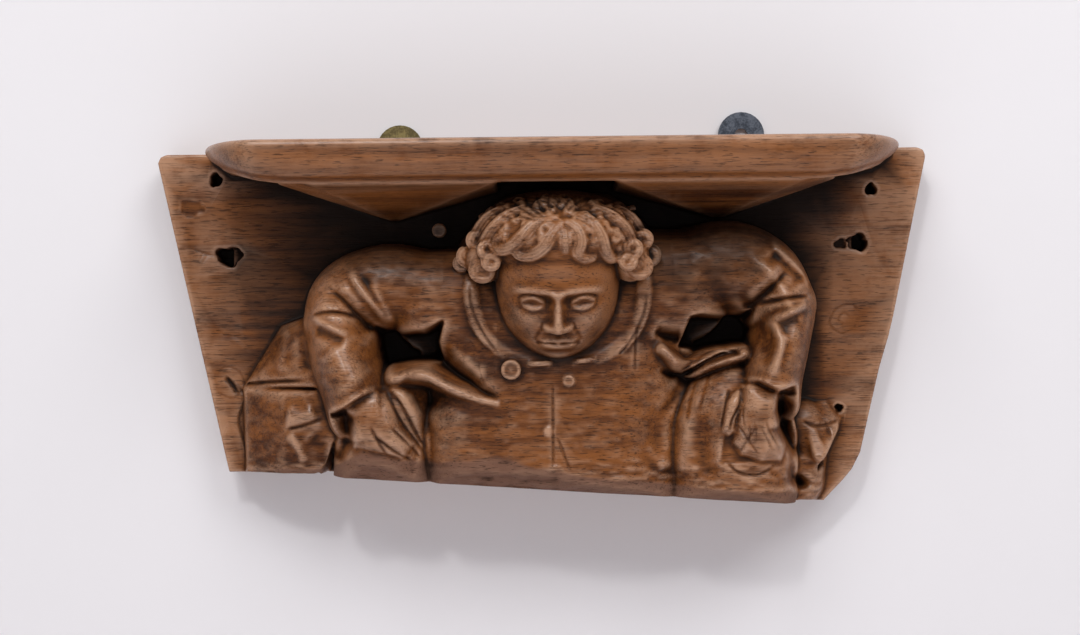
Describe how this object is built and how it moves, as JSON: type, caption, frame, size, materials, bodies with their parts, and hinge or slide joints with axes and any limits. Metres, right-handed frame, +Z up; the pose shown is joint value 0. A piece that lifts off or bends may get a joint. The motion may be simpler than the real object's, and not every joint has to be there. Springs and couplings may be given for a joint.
{
  "type": "misericord",
  "caption": "Carved oak seat board with a moulded ledge carried by a crouching man in a collared coat, hung by its back from plates at the top.",
  "frame": {"origin": "in the flat back face, on the man's centre line and level with his face", "axes": "+Y out of the back towards what it is fixed to, -Y towards the viewer, +Z up, +X to the viewer's right"},
  "size_m": [0.62, 0.1603, 0.317],
  "materials": {
    "oak": "old waxed oak, worn",
    "brass": "dull",
    "steel": "dull blue-grey"
  },
  "bodies": {
    "root": {"carved_block": "oak", "hanger_plate_left": "brass", "hanger_plate_right": "steel"}
  },
  "joints": []
}
